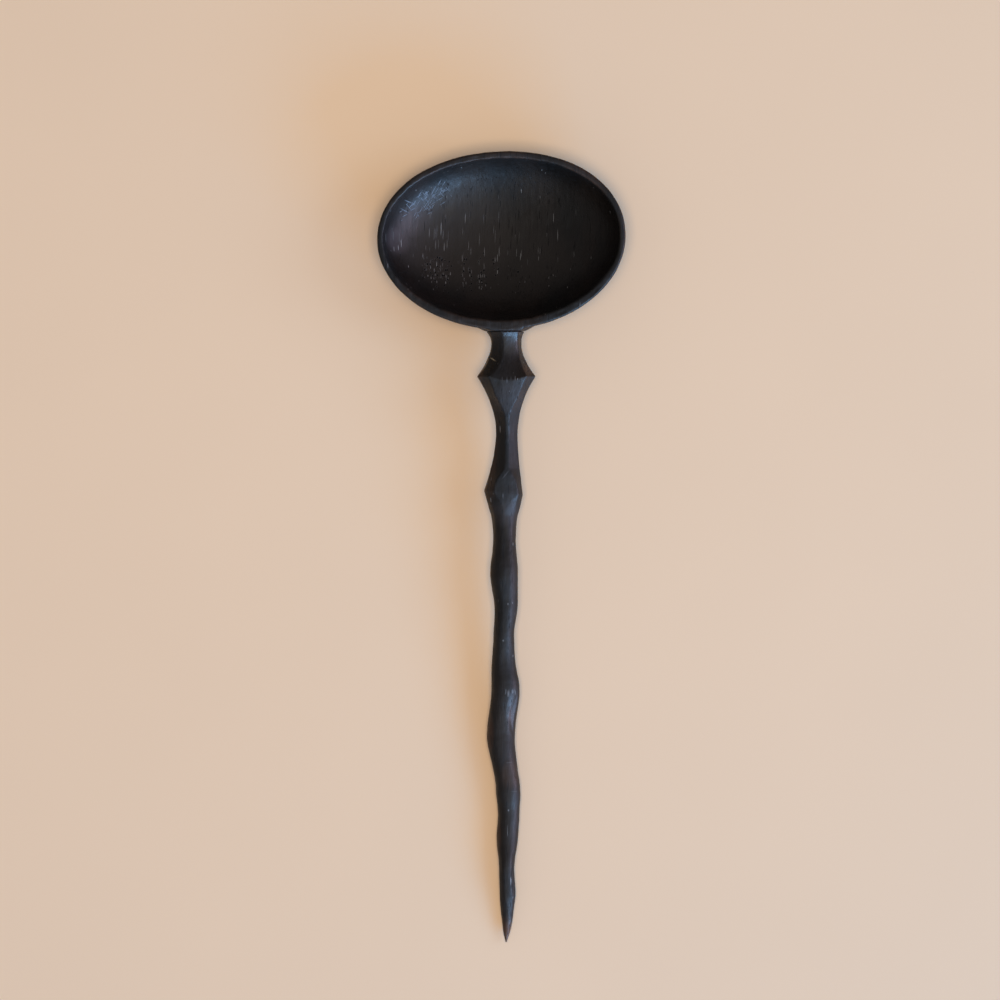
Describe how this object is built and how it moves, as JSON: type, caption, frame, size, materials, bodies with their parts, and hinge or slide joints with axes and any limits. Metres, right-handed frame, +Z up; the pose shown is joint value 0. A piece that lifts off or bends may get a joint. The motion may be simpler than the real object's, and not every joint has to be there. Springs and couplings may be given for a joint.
{
  "type": "wooden serving spoon",
  "caption": "Carved wooden serving spoon with a wide oval bowl across a crooked, tapering handle that has two pointed collars and a faceted waist.",
  "frame": {"origin": "on the table, under the middle of the spoon's length and width", "axes": "+Z up from the table, +Y along the spoon from the handle's point to the bowl's far lip, +X across the bowl to the right"},
  "size_m": [0.094, 0.3, 0.026],
  "materials": {
    "bowl_wood": "satin",
    "handle_wood": "satin"
  },
  "bodies": {
    "root": {"bowl": "bowl_wood", "handle": "handle_wood"}
  },
  "joints": []
}
